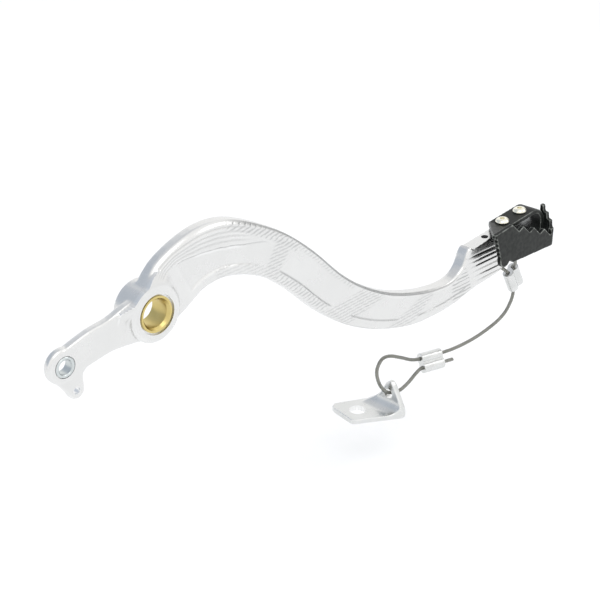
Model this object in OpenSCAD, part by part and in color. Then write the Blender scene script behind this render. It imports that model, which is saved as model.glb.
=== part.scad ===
/* [Pivot boss] */
// Outer diameter of the pivot boss
boss_d = 25; // [24:0.5:30]
// Outer boss face ahead of the arm's middle plane
boss_outer = 5.7; // [5.3:0.1:7]
// Inner boss face behind the arm's middle plane
boss_inner = 7.8; // [7:0.2:9]
// Edge break round both boss faces
boss_edge = 1; // [0.6:0.1:1.6]
// Depth of the seal seat behind the bush
seal_depth = 2.4; // [1.6:0.2:3]
// Diameter of the seal seat
seal_d = 18; // [16.6:0.2:18.4]

/* [Pivot bush] */
// Bore of the bush, for a 12 mm shaft
bush_bore = 12.1; // [11:0.1:13]
// Wall of the bush
bush_wall = 1; // [0.8:0.1:1.3]
// Diameter of the bush flange
bush_flange_d = 15.8; // [15.6:0.1:16.6]
// Thickness of the bush flange
bush_flange_t = 1.2; // [0.8:0.1:1.6]
// How far the flange face lies below the boss face
bush_sink = 0.3; // [0.2:0.1:0.8]
// Gap round the flange in its counterbore
flange_gap = 0.9; // [0.3:0.1:1.1]
// Width of the wide cone in the mouth of the bush
bush_mouth = 0.9; // [0.5:0.1:1]
// Lead-in chamfer at the far end of the bush
bush_lead = 0.4; // [0.2:0.1:0.6]

/* [Main arm] */
// Thickness of the forged arm
arm_thick = 8; // [7:0.5:9]
// Edge rounding of the forged arm
arm_edge = 1.5; // [1:0.1:2]
// Depth of the recessed panels in the outer face
panel_depth = 0.9; // [0.5:0.1:1.5]
// Raised border along the top edge
border_top = 2.6; // [2:0.2:4]
// Raised border along the bottom edge
border_bottom = 5; // [3:0.2:5.4]
// Number of straight grooves in the ribbed toe end
rib_count = 6; // [4:1:6]
// Distance between two grooves
rib_pitch = 3.1; // [2.8:0.1:3.2]
// Width of each groove
rib_gap = 1.1; // [0.8:0.1:1.4]
// Depth of each groove
rib_depth = 0.7; // [0.4:0.1:1]

/* [Toe platform] */
// Forward distance from the pivot to the spare toe hole
spare_x = 230; // [224:1:234]
// Height of the platform at the spare hole, below the pivot
spare_drop = 36; // [35:0.5:37]
// Upward tilt of the platform
platform_tilt = 6; // [4:0.5:8]
// Distance between neighbouring toe holes
toe_pitch = 16; // [15:0.5:17]
// Cable eye hole, forward of the spare hole
eye_ahead = 19.5; // [18:0.5:21]
// Cable eye hole, below the platform at the spare hole
eye_drop = 14.5; // [14:0.5:15.5]
// Diameter of the cable eye hole
eye_hole_d = 5.6; // [5.4:0.2:6]

/* [Rear arm] */
// Distance of the clevis hole behind the pivot
clevis_back = 43.5; // [40:0.5:47]
// Distance of the clevis hole below the pivot
clevis_drop = 8; // [6:0.5:10]
// Diameter of the rounded rear end
rear_end_d = 15.2; // [14.4:0.2:18]
// Thickness of the rear arm
rear_thick = 4.4; // [4:0.2:5.4]
// Middle of the rear arm in front of the middle plane of the main arm
rear_forward = 0.8; // [0.2:0.2:1.4]
// Edge rounding of the rear arm
rear_edge = 1; // [0.8:0.1:1.4]
// Spring hole, forward of the clevis hole
spring_ahead = 4.6; // [3.6:0.2:5.6]
// Spring hole, below the clevis hole
spring_drop = 12.2; // [11.6:0.2:13]
// Diameter of the spring hole
spring_hole_d = 3; // [2:0.2:4]

/* [Clevis sleeve] */
// Bore of the sleeve, for a 6 mm clevis pin
sleeve_bore = 6.1; // [5:0.1:6.5]
// Outer diameter of the sleeve
sleeve_d = 8.8; // [8:0.1:10]
// How far the sleeve stands out of each face
sleeve_proud = 0.3; // [0.1:0.1:0.6]

/* [Toe step] */
// Sheet thickness of the toe step
sheet = 2.5; // [1.8:0.1:2.8]
// Width of the strip on the platform
strip_w = 12; // [9:0.5:13]
// Outer face of the side wall, outboard of the arm's middle plane
wall_out = 14; // [12:0.5:17]
// Bottom of the walls below the platform at the spare hole
wall_drop = 14; // [13:0.5:16]
// Bend radius between the side wall and the front wall
wall_corner = 5; // [4:0.5:6]
// Front face of the step, forward of the front toe hole
front_ahead = 17.5; // [16:0.5:20]
// Rear corner of the side wall, behind the rear toe screw
rear_behind = 25.5; // [23:0.5:26]
// Outer bend radius at the front of the strip
strip_bend = 9; // [7:0.5:10]
// Depth of the big teeth
tooth_depth = 3; // [2:0.1:3.6]
// Number of big teeth along the side wall
tooth_count = 4; // [3:1:5]
// Play of the toe screws in the step's holes
screw_play = 0.5; // [0.3:0.1:0.8]

/* [Toe screws] */
// Thread diameter of the toe screws
screw_d = 4; // [3.5:0.1:4]
// Length of the screw under its head
screw_len = 10; // [8:0.5:11]
// Diameter of the button head
head_d = 7.6; // [7:0.1:8]
// Height of the button head
head_h = 2.2; // [1.8:0.1:2.6]
// Width across the flats of the hexagon socket
socket_af = 2.5; // [2:0.1:3]

/* [Safety cable] */
// Diameter of the wire rope
cable_d = 2; // [1.8:0.1:2]
// Length of each ferrule
ferrule_len = 13.5; // [13:0.1:13.5]
// Outer diameter of each ferrule barrel
barrel_d = 6.2; // [5:0.2:7]
// Distance between the two barrels of a ferrule
barrel_pitch = 5; // [5:0.1:5]

/* [Frame bracket] */
// Thickness of the bracket sheet
bracket_t = 3; // [2:0.2:3.4]
// Hole for the frame bolt
bolt_hole_d = 9; // [6:0.5:11]
// Hole for the cable in the upright tab
tab_hole_d = 5.4; // [5.2:0.2:6]
// Height of the tab above the cable hole
tab_above = 7.5; // [6:0.5:9]
// Depth of the foot below the cable hole
foot_below = 8.5; // [8:0.5:11]

/* [Hidden] */

$fn = 64;
// Overshoot of a cut past the face that it leaves
cut = 1;
// Radial clearance of a pressed or screwed piece in its hole
press_gap = 0.02;

half_t = arm_thick / 2;
bush_r = bush_bore / 2 + bush_wall;
counterbore = bush_sink + bush_flange_t;

clevis = [-clevis_back, -clevis_drop];
spring_hole = clevis + [spring_ahead, -spring_drop];
spare = [spare_x, -spare_drop];
eye = spare + [eye_ahead, -eye_drop];

// Matching points of the arm's top and bottom edges, from the boss to the tip
arm_top = [
    [-5, 10], [3, 19.2], [15, 25.6], [28, 29], [42, 28.2], [58, 22], [76, 12], [94, -2],
    [112, -18.8], [129, -31], [150, -41.6], [173, -48.6], [190, -51], [200.5, -50.2],
    [spare[0] - 22.5, spare[1] - 9.5], [spare[0] - 18, spare[1] - 1],
    [spare[0] - 8, spare[1] + 1], [spare[0] + 12, spare[1] + 3],
    [spare[0] + 33, spare[1] + 5], [spare[0] + 39.5, spare[1] + 0.5]
];
arm_bottom = [
    [9, -8.4], [17.6, -3.8], [25.5, 1], [32, 2.7], [39.5, 2.9], [50.5, 0.3], [63.5, -5.6],
    [79.5, -17.6], [97, -33.6], [116, -47.2], [139, -58], [165, -65.2], [187, -66.4],
    [203, -65], [spare[0] - 18, spare[1] - 27], [spare[0] - 9, spare[1] - 25.4],
    [spare[0], spare[1] - 24.6], [spare[0] + 13, spare[1] - 22.8],
    [spare[0] + 28, spare[1] - 17], [spare[0] + 38.5, spare[1] - 8]
];
// Stations between which the recessed panels run
panel_spans = [[1.6, 5.4], [6.9, 8], [9, 10.3], [11.1, 12.5]];
// Widths of the grooved band above the first panel, from the boss on
band_widths = [6.6, 9.6, 11.4, 11.8, 10.2, 6.4];
// Loft steps between two neighbouring stations
arm_steps = 3;

// Matching points of the rear arm's edges, from the boss to the clevis
rear_top = [[-4, 9.4], [-13, 7.2], [-21.5, 4.2], clevis + [12.5, 10.7], clevis + [1.5, 7.3]];
rear_bottom = [[-6, -10.8], [-13.5, -10.2], [-21, -9.9], clevis + [14.5, -3.3], clevis + [5.5, -4.9]];

// Wire rope route: tail in the upper ferrule, eye, run, lower ferrule, loop, tail
cable_route = [
    [265.4, 0, -73.4], [262.8, 0, -68.8], [259.4, 0, -63],
    [257.2, -2.6, -60.2], [254, -5, -57], [251.8, -5.5, -54.3],
    [250.4, -4.8, -52.1], [249.4, -2.8, -50.4], [249.1, 0, -49.8],
    [249.4, 2.8, -50.4], [250.4, 4.8, -52.1], [250.9, 5.6, -55.5],
    [251.2, 5, -59.6], [252.6, 2.6, -62.4], [254.2, 0.6, -64.4],
    [255.2, 0, -65.8], [258.3, 0, -71.2], [261.6, 0, -76.9],
    [262.2, 0.2, -81.1], [260.7, 0.4, -85.6], [256.9, 0.8, -90.7],
    [250.3, 1.4, -94.6], [239, 2.6, -98], [227.5, 3.7, -99.8], [215, 4.8, -100.2],
    [204.4, 6.3, -99.8], [198.1, 8.1, -99.8], [191.9, 9.9, -99.8],
    [185.5, 11.2, -98.4], [177.2, 11.6, -94.1], [168, 12, -89.8],
    [161.4, 12, -89.4], [157.6, 11.9, -94.6], [158.8, 11.2, -102],
    [162.6, 10.3, -108], [166.5, 9.7, -110.5], [172.5, 9, -111.8],
    [179.5, 8.5, -109.8], [186.5, 8, -105.6],
    [191.1, 7.3, -104], [203.6, 3.7, -104], [210.3, 1.8, -104]
];
cable_sides = 8;
tab_hole = cable_route[35];

// Upper ferrule: middle of its top end, and its turns
upper_pos = [257.2, 0, -64.2];
upper_lean = 150;
upper_twist = 0;
// Lower ferrule: middle of its right end, and its turns
lower_pos = [204, 5, -101.9];
lower_heading = 164;
lower_twist = 33;

silver = "#d9dadb";
gold = "#c9a24a";
zinc = "#b9bfc0";
black = "#26282a";
nickel = "#d6d2bf";
rope_grey = "#a3a296";
ferrule_grey = "#cfd0cf";

// A point on a smooth curve through a list, u counted in list steps
function smooth_at(list, u) =
    let (
        last = len(list) - 1,
        i = min(floor(u), last - 1),
        t = u - i,
        a = list[max(i - 1, 0)],
        b = list[i],
        c = list[i + 1],
        d = list[min(i + 2, last)]
    )
    b + 0.5 * t * ((c - a) + t * ((2 * a - 5 * b + 4 * c - d) + t * (3 * (b - c) + d - a)));

// Unit direction across an arm at station u, from its bottom to its top edge
function across(top, bottom, u) =
    let (v = smooth_at(top, u) - smooth_at(bottom, u))
    v / norm(v);

// Half width of an arm at station u
function half_width(top, bottom, u) = norm(smooth_at(top, u) - smooth_at(bottom, u)) / 2;

// Rounded rectangle, as [across, y] pairs, for one section of an arm
function rounded_section(h, y0, y1, r) = [
    for (corner = [[h - r, y1 - r, 0], [r - h, y1 - r, 90], [r - h, y0 + r, 180], [h - r, y0 + r, 270]])
        for (a = [0, 45, 90])
            [corner[0] + r * cos(corner[2] + a), corner[1] + r * sin(corner[2] + a)]
];

// A sweep of matching closed rings into one solid
module skin(rings) {
    n = len(rings[0]);
    last = len(rings) - 1;
    points = [for (ring = rings) for (p = ring) p];
    sides = [
        for (i = [0:last - 1])
            for (j = [0:n - 1])
                let (k = (j + 1) % n)
                    for (f = [
                        [i * n + j, (i + 1) * n + j, (i + 1) * n + k],
                        [i * n + j, (i + 1) * n + k, i * n + k]
                    ]) f
    ];
    start_cap = [for (j = [0:n - 1]) j];
    end_cap = [for (j = [n - 1:-1:0]) last * n + j];
    polyhedron(points = points, faces = concat(sides, [start_cap, end_cap]), convexity = 8);
}

// An arm lofted between its two edges, from y0 to y1
module arm_loft(top, bottom, y0, y1, r, steps) {
    last = len(top) - 1;
    forward = top[last][0] > top[0][0];
    rings = [
        for (i = [0:last * steps])
            let (
                u = i / steps,
                mid = (smooth_at(top, u) + smooth_at(bottom, u)) / 2,
                w = across(top, bottom, u)
            )
            [for (q = rounded_section(half_width(top, bottom, u), y0, y1, r))
                [mid[0] + w[0] * q[0], forward ? y0 + y1 - q[1] : q[1], mid[1] + w[1] * q[0]]]
    ];
    skin(rings);
}

// A flat outline in the side view, given thickness from y0 to y1
module side_slab(y0, y1) {
    translate([0, y1, 0])
        rotate([90, 0, 0])
            linear_extrude(y1 - y0)
                children();
}

// A round disc across the arm with chamfered rims
module rimmed_disc(d, y0, y1, edge) {
    r = d / 2;
    translate([0, y1, 0])
        rotate([90, 0, 0])
            rotate_extrude()
                polygon([
                    [0, 0], [r - edge, 0], [r, edge],
                    [r, y1 - y0 - edge], [r - edge, y1 - y0], [0, y1 - y0]
                ]);
}

// A hole across the arm at a place in the side view
module cross_hole(place, d) {
    reach = boss_outer + boss_inner + 2 * cut;
    translate([place[0], boss_inner + cut, place[1]])
        rotate([90, 0, 0])
            cylinder(d = d, h = reach);
}

// Moves its children to the platform, x along it and z out of it
module on_platform() {
    translate([spare[0], 0, spare[1]])
        rotate([0, -platform_tilt, 0])
            children();
}

// Outline of one recessed panel between two stations of the arm
function panel_edge(u, from_top, gap) =
    let (w = across(arm_top, arm_bottom, u))
    from_top ? smooth_at(arm_top, u) - w * gap : smooth_at(arm_bottom, u) + w * gap;

module panel_outline(span, widths) {
    steps = 10;
    length = span[1] - span[0];
    last = len(widths) - 1;
    upper = [for (i = [0:steps])
        panel_edge(span[0] + length * i / steps, true, smooth_at(widths, last * i / steps))];
    lower = [for (i = [steps:-1:0])
        panel_edge(span[0] + length * i / steps, false, border_bottom)];
    polygon(concat(upper, lower));
}

// Lug below the clevis that holds the pedal spring
module spring_ear() {
    y0 = -rear_forward - rear_thick / 2 + rear_edge / 2;
    y1 = rear_thick / 2 - rear_forward - rear_edge / 2;
    lug_r = spring_hole_d / 2 + 2.2;
    side_slab(y0, y1) {
        translate(spring_hole)
            circle(r = lug_r);
        polygon([
            clevis + [-3.4, -6.6], clevis + [-1.6, -9.2], spring_hole + [-lug_r, -0.4],
            spring_hole + [lug_r, 0.4], clevis + [8.2, -6.2], clevis + [10, -4],
            clevis + [4, 0]
        ]);
    }
}

// One straight groove of the ribbed toe end, the first one nearest the platform
module rib_groove(i) {
    from_x = spare[0] - 15.5 + i * 1.9;
    z = spare[1] - 6 - i * rib_pitch;
    translate([from_x, -half_t - cut, z - rib_gap / 2])
        cube([spare[0] + 26 - from_x, cut + rib_depth, rib_gap]);
}

module pedal_arm() {
    rear_y0 = -rear_forward - rear_thick / 2;
    rear_y1 = rear_thick / 2 - rear_forward;
    color(silver)
        difference() {
            union() {
                rimmed_disc(boss_d, -boss_outer, boss_inner, boss_edge);
                arm_loft(arm_top, arm_bottom, -half_t, half_t, arm_edge, arm_steps);
                arm_loft(rear_top, rear_bottom, rear_y0, rear_y1, rear_edge, arm_steps);
                translate([clevis[0], 0, clevis[1]])
                    rimmed_disc(rear_end_d, rear_y0, rear_y1, rear_edge);
                spring_ear();
            }
            cross_hole([0, 0], 2 * (bush_r + press_gap));
            translate([0, boss_inner + cut, 0])
                rotate([90, 0, 0])
                    cylinder(d = seal_d, h = seal_depth + cut);
            translate([0, counterbore - boss_outer, 0])
                rotate([90, 0, 0])
                    cylinder(d = bush_flange_d + 2 * flange_gap, h = counterbore + cut);
            cross_hole(clevis, sleeve_d + 2 * press_gap);
            cross_hole(spring_hole, spring_hole_d);
            cross_hole(eye, eye_hole_d);
            for (i = [0:len(panel_spans) - 1])
                side_slab(-half_t - cut, panel_depth - half_t)
                    panel_outline(panel_spans[i], i == 0 ? band_widths : [border_top, border_top]);
            for (i = [0:rib_count - 1])
                rib_groove(i);
            on_platform() {
                translate([-toe_pitch, -half_t - cut, 0])
                    cube([toe_pitch * 5, arm_thick + 2 * cut, 20]);
                for (i = [0:2])
                    translate([i * toe_pitch, 0, -screw_len - cut])
                        cylinder(d = screw_d + 2 * press_gap, h = screw_len + 2 * cut);
            }
        }
}

module pivot_bush() {
    length = boss_outer + boss_inner - bush_sink - seal_depth;
    bore_r = bush_bore / 2;
    color(gold)
        translate([0, bush_sink - boss_outer, 0])
            rotate([-90, 0, 0])
                rotate_extrude()
                    polygon([
                        [bore_r + bush_mouth, 0], [bush_flange_d / 2, 0],
                        [bush_flange_d / 2, bush_flange_t], [bush_r, bush_flange_t],
                        [bush_r, length], [bore_r + bush_lead, length],
                        [bore_r, length - bush_lead], [bore_r, bush_flange_t]
                    ]);
}

module clevis_sleeve() {
    length = rear_thick + 2 * sleeve_proud;
    lead = 0.3;
    bore_r = sleeve_bore / 2;
    out_r = sleeve_d / 2;
    color(zinc)
        translate([clevis[0], -rear_forward - length / 2, clevis[1]])
            rotate([-90, 0, 0])
                rotate_extrude()
                    polygon([
                        [bore_r + lead, 0], [out_r - lead, 0], [out_r, lead],
                        [out_r, length - lead], [out_r - lead, length],
                        [bore_r + lead, length], [bore_r, length - lead], [bore_r, lead]
                    ]);
}

// Saw edge from one point to another, with its tips on the line and its notches off it
function saw_edge(from, to, count, depth, lean) =
    let (
        along = (to - from) / count,
        off = [along[1], -along[0]] / norm(along) * depth
    )
    [for (i = [0:count - 1]) for (p = [from + along * i, from + along * (i + lean) + off]) p];

// Points of an arc round a centre
function arc(centre, r, from, to, steps) = [
    for (i = [0:steps])
        let (a = from + (to - from) * i / steps)
            centre + r * [cos(a), sin(a)]
];

// Height of the platform at a place along x
function platform_z(x) = spare[1] + (x - spare[0]) * tan(platform_tilt);

// Strip on the platform with its front bend and flange, in the side view
module strip_profile(end_x, flange_x) {
    lift = sheet / cos(platform_tilt);
    bend = [
        flange_x - strip_bend,
        platform_z(flange_x - strip_bend) + lift - strip_bend / cos(platform_tilt)
    ];
    flange_z = spare[1] - wall_drop + 2;
    polygon(concat(
        arc(bend, strip_bend, 90 + platform_tilt, 0, 9),
        [[flange_x, flange_z], [flange_x - sheet, flange_z]],
        arc(bend, strip_bend - sheet, 0, 90 + platform_tilt, 9),
        [[end_x, platform_z(end_x)], [end_x, platform_z(end_x) + lift]]
    ));
}

// Toothed side wall, in the side view
module wall_profile(rear_corner, front_x) {
    bottom_z = spare[1] - wall_drop;
    first_tip = rear_corner + [15, 1.8];
    last_tip = [front_x - 3.2, spare[1] - 6];
    lobe = [rear_corner[0] + 10.5, bottom_z + 4.4];
    polygon(concat(
        saw_edge(first_tip, last_tip, tooth_count, tooth_depth, 0.72),
        [last_tip, [front_x, last_tip[1] - 0.8], [front_x, bottom_z - 0.8]],
        [[lobe[0] + 7.5, bottom_z + 0.4], [lobe[0] + 6, bottom_z + 1.6]],
        arc(lobe, 4.4, -25, -170, 8),
        saw_edge([lobe[0] - 4.7, lobe[1] + 0.8], rear_corner, 6, 0.7, 0.5),
        [rear_corner]
    ));
}

// Toothed front wall, seen from behind, with y across
module front_profile(top_y) {
    bottom_z = spare[1] - wall_drop - 0.8;
    low = [-wall_out, spare[1] - 8.4];
    high = [top_y, spare[1] + 6.8];
    polygon(concat(
        [[-wall_out, bottom_z], [top_y, bottom_z]],
        saw_edge(high, low, 4, 1.6, 0.3),
        [low]
    ));
}

module toe_step() {
    front_x = spare[0] + 2 * toe_pitch + front_ahead;
    end_x = spare[0] + toe_pitch - 4.6;
    rear_corner = [spare[0] + toe_pitch - rear_behind, spare[1] + 7.2];
    flange_x = front_x - sheet + 0.2;
    top_y = -3;
    color(black)
        difference() {
            union() {
                side_slab(-strip_w / 2, strip_w / 2)
                    strip_profile(end_x, flange_x);
                intersection() {
                    // Side and front walls from above, as one bent strip
                    translate([0, 0, -100])
                        linear_extrude(100)
                            bent_wall(rear_corner[0], front_x, top_y);
                    union() {
                        side_slab(-wall_out - cut, wall_corner - wall_out)
                            wall_profile(rear_corner, front_x + cut);
                        translate([front_x - wall_corner, 0, 0])
                            rotate([90, 0, 90])
                                linear_extrude(wall_corner + cut)
                                    front_profile(top_y);
                    }
                }
                rear_web(end_x, rear_corner);
            }
            on_platform()
                for (i = [1:2])
                    translate([i * toe_pitch, 0, -cut])
                        cylinder(d = screw_d + screw_play, h = sheet + 2 * cut);
        }
}

// Side wall, rounded corner and front wall, seen from above
module bent_wall(rear_x, front_x, top_y) {
    centre = [front_x - wall_corner, wall_corner - wall_out];
    polygon(concat(
        [[rear_x, sheet - wall_out], [rear_x, -wall_out]],
        arc(centre, wall_corner, -90, 0, 8),
        [[front_x, top_y], [front_x - sheet, top_y]],
        arc(centre, wall_corner - sheet, 0, -90, 8)
    ));
}

// Web that rises from the strip's rear end to the rear corner of the side wall
module rear_web(end_x, rear_corner) {
    start_z = platform_z(end_x) + 0.1;
    slope = (rear_corner[1] - sheet - start_z) / (end_x - rear_corner[0]);
    outline = [
        [end_x + 0.3, strip_w / 2], [end_x, strip_w / 2],
        [rear_corner[0], sheet - wall_out], [rear_corner[0], -wall_out + 0.5],
        [end_x + 0.3, -wall_out + 0.5]
    ];
    low = [for (p = outline) [p[0], p[1], start_z + slope * (end_x - p[0])]];
    skin([low, [for (p = low) p + [0, 0, sheet]]]);
}

module toe_screw(index) {
    dome = 0.9;
    head_r = head_d / 2;
    socket_depth = head_h * 0.6;
    color(nickel)
        on_platform()
            translate([index * toe_pitch, 0, sheet])
                difference() {
                    union() {
                        rotate_extrude()
                            polygon([
                                [0, 0], [head_r - 0.2, 0], [head_r, 0.3], [head_r, head_h * 0.3],
                                [head_r * 0.92, head_h * 0.6], [head_r * 0.78, head_h * 0.84],
                                [head_r * 0.6, head_h * 0.96], [head_r * 0.45, head_h], [0, head_h]
                            ]);
                        translate([0, 0, -screw_len])
                            cylinder(d = screw_d, h = screw_len + dome);
                    }
                    translate([0, 0, head_h - socket_depth])
                        cylinder(d = socket_af / cos(30), h = socket_depth + cut, $fn = 6);
                }
}

module toe_screw_rear() {
    toe_screw(1);
}

module toe_screw_front() {
    toe_screw(2);
}

// Unit direction of the wire rope at step u
function rope_heading(u) =
    let (
        last = len(cable_route) - 1,
        d = smooth_at(cable_route, min(u + 0.02, last)) - smooth_at(cable_route, max(u - 0.02, 0))
    )
    d / norm(d);

module safety_cable() {
    last = len(cable_route) - 1;
    steps = 2;
    r = cable_d / 2;
    color(rope_grey)
        skin(rope_rings(0, last * steps, steps, r, [0, 1, 0]));
}

// Rings of the rope tube, each turned from the ring before so that the tube never twists
function rope_rings(i, count, steps, r, side) =
    i > count ? [] :
    let (
        u = i / steps,
        h = rope_heading(u),
        s0 = side - h * (side * h),
        s = s0 / norm(s0),
        up = cross(h, s),
        c = smooth_at(cable_route, u)
    )
    concat(
        [[for (k = [0:cable_sides - 1])
            c + r * (s * cos(k * 360 / cable_sides) + up * sin(k * 360 / cable_sides))]],
        rope_rings(i + 1, count, steps, r, s)
    );

// Crimped double barrel, its length along z and its barrels side by side along x
module ferrule() {
    difference() {
        union() {
            for (side = [-1, 1])
                translate([side * barrel_pitch / 2, 0, 0])
                    cylinder(d = barrel_d, h = ferrule_len);
            translate([-barrel_pitch / 2, -barrel_d * 0.36, 0])
                cube([barrel_pitch, barrel_d * 0.72, ferrule_len]);
        }
        for (side = [-1, 1])
            translate([side * barrel_pitch / 2, 0, -cut])
                cylinder(d = cable_d + 2 * press_gap, h = ferrule_len + 2 * cut);
    }
}

module ferrule_upper() {
    color(ferrule_grey)
        translate(upper_pos)
            rotate([0, upper_lean, 0])
                rotate([0, 0, upper_twist])
                    ferrule();
}

module ferrule_lower() {
    color(ferrule_grey)
        translate(lower_pos)
            rotate([0, 0, lower_heading])
                rotate([0, 90, 0])
                    rotate([0, 0, lower_twist])
                        ferrule();
}

module frame_bracket() {
    tab_x = tab_hole[0] - bracket_t / 2;
    tab_y = tab_hole[1];
    foot_top = tab_hole[2] - foot_below;
    bend_r = bracket_t;
    color(silver)
        difference() {
            union() {
                // Foot, seen from above, with its bend edge along y
                translate([tab_x, tab_y, foot_top - bracket_t])
                    linear_extrude(bracket_t)
                        polygon([
                            [0, -10.2], [-18.6, 1.6], [-21.4, 3], [-23.2, 5.4], [-21, 20],
                            [-19.6, 22.6], [-16.6, 23.8], [0, 14.8]
                        ]);
                // Tab, seen along x
                translate([tab_x, tab_y, foot_top])
                    rotate([90, 0, 90])
                        linear_extrude(bracket_t)
                            polygon([
                                [-10.2, -bracket_t], [14.8, -bracket_t], [14.2, 0.2], [9.6, 3.2],
                                [5.4, 7.6], [2, foot_below + tab_above - 1.6],
                                [0.2, foot_below + tab_above], [-1.8, foot_below + tab_above],
                                [-3.4, foot_below + tab_above - 1.6], [-9.4, 3.4], [-10.2, 1]
                            ]);
            }
            translate([tab_x - cut, tab_y, tab_hole[2]])
                rotate([0, 90, 0])
                    cylinder(d = tab_hole_d, h = bracket_t + 2 * cut);
            translate([tab_x - 13.2, tab_y + 10, foot_top - bracket_t - cut])
                cylinder(d = bolt_hole_d, h = bracket_t + 2 * cut);
        }
}

pedal_arm();
pivot_bush();
clevis_sleeve();
toe_step();
toe_screw_rear();
toe_screw_front();
safety_cable();
ferrule_upper();
ferrule_lower();
frame_bracket();
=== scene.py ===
import math

import bpy
import numpy as np
from mathutils import Matrix, Vector


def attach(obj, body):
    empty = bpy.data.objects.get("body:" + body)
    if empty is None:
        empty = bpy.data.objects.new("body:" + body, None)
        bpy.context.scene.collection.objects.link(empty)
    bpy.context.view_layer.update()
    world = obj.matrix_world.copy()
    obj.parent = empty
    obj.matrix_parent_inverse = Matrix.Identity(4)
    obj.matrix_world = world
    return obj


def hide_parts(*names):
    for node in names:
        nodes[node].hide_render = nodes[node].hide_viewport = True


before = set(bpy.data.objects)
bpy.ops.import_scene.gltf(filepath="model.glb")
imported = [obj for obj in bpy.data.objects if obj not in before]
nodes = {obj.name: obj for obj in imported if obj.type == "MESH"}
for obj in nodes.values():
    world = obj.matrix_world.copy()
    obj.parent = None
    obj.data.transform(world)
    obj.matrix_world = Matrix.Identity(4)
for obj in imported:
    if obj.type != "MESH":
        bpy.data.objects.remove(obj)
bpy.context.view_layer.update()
scene = bpy.context.scene
mm = 0.001
weldGap = 0.01 * mm
barrelSides = 96


# small helpers, used by every piece

def deselectAll():
    bpy.ops.object.select_all(action="DESELECT")


def makeActive(obj):
    deselectAll()
    obj.select_set(True)
    bpy.context.view_layer.objects.active = obj


def applyModifiers(obj):
    makeActive(obj)
    for modifier in list(obj.modifiers):
        bpy.ops.object.modifier_apply(modifier=modifier.name)


def joinPieces(pieces, name):
    deselectAll()
    for piece in pieces:
        piece.select_set(True)
    bpy.context.view_layer.objects.active = pieces[0]
    bpy.ops.object.join()
    joined = bpy.context.object
    joined.name = joined.data.name = name
    return joined


# place goes into the mesh, and faces that meet at less than the angle are shaded smooth
def settle(obj, name, angle):
    makeActive(obj)
    obj.name = obj.data.name = name
    bpy.ops.object.transform_apply(location=True, rotation=True, scale=True)
    bpy.ops.object.shade_smooth_by_angle(angle=math.radians(angle))
    return obj


# a node's own shape as a new piece, with its loose triangles welded
def copyOfNode(node, name):
    source = nodes[node]
    copy = source.copy()
    copy.data = source.data.copy()
    scene.collection.objects.link(copy)
    copy.parent = None
    copy.matrix_world = Matrix.Identity(4)
    for key in list(copy.keys()):
        del copy[key]
    makeActive(copy)
    bpy.ops.object.mode_set(mode="EDIT")
    bpy.ops.mesh.select_all(action="SELECT")
    bpy.ops.mesh.remove_doubles(threshold=weldGap)
    bpy.ops.mesh.customdata_custom_splitnormals_clear()
    bpy.ops.object.mode_set(mode="OBJECT")
    copy.name = copy.data.name = name
    return copy


# one closed skin over all that was joined, a little softened
def softSkin(obj, voxel, softening):
    skin = obj.modifiers.new("skin", "REMESH")
    skin.mode = "VOXEL"
    skin.voxel_size = voxel
    soften = obj.modifiers.new("softening", "SMOOTH")
    soften.factor = 0.5
    soften.iterations = softening
    applyModifiers(obj)


def addBarrel(radius, depth, place, turn):
    deselectAll()
    bpy.ops.mesh.primitive_cylinder_add(
        vertices=barrelSides, radius=radius, depth=depth, location=place, rotation=turn,
    )
    return bpy.context.object


# each cutter is subtracted, or only what lies inside it is kept, and then it goes
def cutWith(obj, cutters, operation="DIFFERENCE"):
    for cutter in cutters:
        cut = obj.modifiers.new("cut", "BOOLEAN")
        cut.operation = operation
        cut.solver = "EXACT"
        cut.object = cutter
        applyModifiers(obj)
        bpy.data.objects.remove(cutter)


def verticesOf(obj, what="co"):
    values = np.zeros(len(obj.data.vertices) * 3)
    obj.data.vertices.foreach_get(what, values)
    return values.reshape(-1, 3)


def setAttribute(obj, name, values):
    kind, field = ("FLOAT", "value") if values.ndim == 1 else ("FLOAT_VECTOR", "vector")
    attribute = obj.data.attributes.new(name, kind, "POINT")
    attribute.data.foreach_set(field, values.astype(np.float32).ravel())


# how far each vertex stands proud of its neighbours, 0 to 1; it lays rubbed edges with painted
# highlights on them
def edgeWearAndHighlight(obj, reach):
    points = verticesOf(obj)
    edges = np.zeros(len(obj.data.edges) * 2, int)
    obj.data.edges.foreach_get("vertices", edges)
    edges = edges.reshape(-1, 2)
    spans = np.linalg.norm(points[edges[:, 0]] - points[edges[:, 1]], axis=1)
    total = np.zeros_like(points)
    length = np.zeros(len(points))
    count = np.zeros(len(points))
    for here, there in ((0, 1), (1, 0)):
        np.add.at(total, edges[:, here], points[edges[:, there]])
        np.add.at(length, edges[:, here], spans)
        np.add.at(count, edges[:, here], 1)
    count = np.maximum(count, 1)
    above = ((points - total / count[:, None]) * verticesOf(obj, "normal")).sum(1)
    return np.clip(reach * above / np.maximum(length / count, 1e-6), 0, 1)


# points on the smooth curve that the solids follow, so many steps to a span
def smoothAt(points, steps):
    points = np.array(points, float)
    last = len(points) - 1
    route = []
    for k in range(last * steps + 1):
        i = min(k // steps, last - 1)
        t = k / steps - i
        a, b, c, d = points[max(i - 1, 0)], points[i], points[i + 1], points[min(i + 2, last)]
        bow = 2 * a - 5 * b + 4 * c - d + t * (3 * (b - c) + d - a)
        route.append(b + 0.5 * t * (c - a + t * bow))
    return np.array(route)


# camera: 72 mm on a 36 mm sensor, 45.7 degrees to the side and 25.5 up

cameraSet = {
    "place": (-0.2682, -0.3470, 0.2118), "turn": -45.7, "lift": 25.5, "lens": 72, "sensor": 36,
}

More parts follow.
